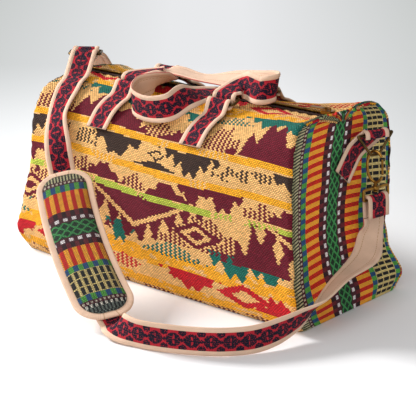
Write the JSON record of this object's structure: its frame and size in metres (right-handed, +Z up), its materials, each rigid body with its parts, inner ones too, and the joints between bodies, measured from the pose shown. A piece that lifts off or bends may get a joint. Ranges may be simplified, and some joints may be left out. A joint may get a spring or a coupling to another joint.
{
  "type": "woven travel bag",
  "caption": "Soft zipped travel bag of patterned woven cloth with carrying handles on rings, a long shoulder strap on snap hooks and a sliding shoulder pad.",
  "frame": {"origin": "middle of the base, on the floor", "axes": "+X to the right end of the bag, -Y to the front, +Z up"},
  "size_m": [0.6389, 0.4452, 0.3189],
  "materials": {
    "woven_cloth": "coarse woven cloth with stepped motifs",
    "striped_cloth": "coarse woven cloth in stripes",
    "zip_tape": "dark woven tape",
    "tan_webbing": "tan cotton webbing",
    "dark_bronze": "dark bronze plating",
    "old_brass": "worn antique brass",
    "patterned_band": "woven band with tan edges and lining"
  },
  "bodies": {
    "bag": {"front_panel": "woven_cloth", "back_panel": "woven_cloth", "end_panel_right": "striped_cloth", "end_panel_left": "striped_cloth", "base_panel": "striped_cloth", "zip_tape_front": "zip_tape", "zip_teeth_front": "old_brass", "zip_tape_back": "zip_tape", "zip_teeth_back": "old_brass", "zip_stop_left": "old_brass", "zip_stop_right": "old_brass", "handle_tab_front_left": "patterned_band", "handle_tab_front_right": "patterned_band", "handle_tab_back_left": "patterned_band", "handle_tab_back_right": "patterned_band", "handle_strap_front": "patterned_band", "handle_strap_back": "patterned_band", "end_tab_right": "patterned_band", "end_tab_left": "patterned_band", "pad_backing": "tan_webbing", "pad_insert": "striped_cloth", "pad_keeper_top": "tan_webbing", "pad_keeper_foot": "tan_webbing", "strap_slider": "dark_bronze", "shoulder_strap_long": "patterned_band", "shoulder_strap_short": "patterned_band"},
    "zip_slider": {"zip_slider": "old_brass"},
    "zip_pull": {"zip_pull": "old_brass"},
    "handle_ring_front_left": {"handle_ring_front_left": "dark_bronze"},
    "handle_ring_front_right": {"handle_ring_front_right": "dark_bronze"},
    "handle_ring_back_left": {"handle_ring_back_left": "dark_bronze"},
    "handle_ring_back_right": {"handle_ring_back_right": "dark_bronze"},
    "end_ring_right": {"end_ring_right": "dark_bronze"},
    "hook_right": {"hook_right": "old_brass"},
    "hook_gate_right": {"hook_gate_right": "old_brass"},
    "swivel_right": {"swivel_eye_right": "old_brass", "strap_end_right": "patterned_band"},
    "end_ring_left": {"end_ring_left": "dark_bronze"},
    "hook_left": {"hook_left": "old_brass"},
    "hook_gate_left": {"hook_gate_left": "old_brass"},
    "swivel_left": {"swivel_eye_left": "old_brass", "strap_end_left": "patterned_band"}
  },
  "joints": [
    {"name": "zip_run", "type": "slide", "parent": "bag", "child": "zip_slider", "axis": [-1, 0, 0], "range_m": [0, 0.38], "deforming": ["handle_strap_front", "handle_strap_back"]},
    {"name": "pull_swing", "type": "hinge", "parent": "zip_slider", "child": "zip_pull", "pos_m": [0.221, 0, 0.2789], "axis": [0, 1, 0], "range_deg": [0, 165]},
    {"name": "handle_ring_front_left_swing", "type": "hinge", "parent": "bag", "child": "handle_ring_front_left", "pos_m": [-0.10572, -0.05406, 0.27386], "axis": [1, 0, 0], "range_deg": [0, 60], "deforming": ["handle_strap_front", "handle_strap_back"]},
    {"name": "handle_ring_front_right_swing", "type": "hinge", "parent": "bag", "child": "handle_ring_front_right", "pos_m": [0.07327, -0.05403, 0.2749], "axis": [0.9994, 0.0349, 0], "range_deg": [0, 60], "deforming": ["handle_strap_front", "handle_strap_back"]},
    {"name": "handle_ring_back_left_swing", "type": "hinge", "parent": "bag", "child": "handle_ring_back_left", "pos_m": [-0.10569, 0.05369, 0.27436], "axis": [-1, 0, 0], "range_deg": [0, 60], "deforming": ["handle_strap_front", "handle_strap_back"]},
    {"name": "handle_ring_back_right_swing", "type": "hinge", "parent": "bag", "child": "handle_ring_back_right", "pos_m": [0.07324, 0.05377, 0.27536], "axis": [-1, 0, 0], "range_deg": [0, 60], "deforming": ["handle_strap_front", "handle_strap_back"]},
    {"name": "end_ring_right_swing", "type": "hinge", "parent": "bag", "child": "end_ring_right", "pos_m": [0.2675, 0.047, 0.243], "axis": [-0.309, -0.9511, 0], "range_deg": [0, 70], "deforming": ["shoulder_strap_long"]},
    {"name": "hook_right_swing", "type": "hinge", "parent": "end_ring_right", "child": "hook_right", "pos_m": [0.26894, 0.04653, 0.21404], "axis": [-0.309, -0.9511, 0], "range_deg": [0, 20], "deforming": ["shoulder_strap_long"]},
    {"name": "hook_gate_right_press", "type": "hinge", "parent": "hook_right", "child": "hook_gate_right", "pos_m": [0.28106, 0.04823, 0.1879], "axis": [0.1392, -0.9903, 0], "range_deg": [0, 26], "stiffness_Nm_per_rad": 0.05},
    {"name": "swivel_right_turn", "type": "hinge", "parent": "hook_right", "child": "swivel_right", "pos_m": [0.26894, 0.04653, 0.21404], "axis": [-0.0518, -0.0073, 0.9986], "range_deg": [-25, 25], "deforming": ["shoulder_strap_long"]},
    {"name": "end_ring_left_swing", "type": "hinge", "parent": "bag", "child": "end_ring_left", "pos_m": [-0.2675, 0.047, 0.243], "axis": [0.309, 0.9511, 0], "range_deg": [0, 70], "deforming": ["shoulder_strap_short"]},
    {"name": "hook_left_swing", "type": "hinge", "parent": "end_ring_left", "child": "hook_left", "pos_m": [-0.26894, 0.04747, 0.21404], "axis": [0.309, 0.9511, 0], "range_deg": [0, 20], "deforming": ["shoulder_strap_short"]},
    {"name": "hook_gate_left_press", "type": "hinge", "parent": "hook_left", "child": "hook_gate_left", "pos_m": [-0.28106, 0.04577, 0.1879], "axis": [-0.1392, 0.9903, 0], "range_deg": [0, 26], "stiffness_Nm_per_rad": 0.05},
    {"name": "swivel_left_turn", "type": "hinge", "parent": "hook_left", "child": "swivel_left", "pos_m": [-0.26894, 0.04747, 0.21404], "axis": [0.0518, 0.0073, 0.9986], "range_deg": [-25, 25], "deforming": ["shoulder_strap_short"]}
  ]
}
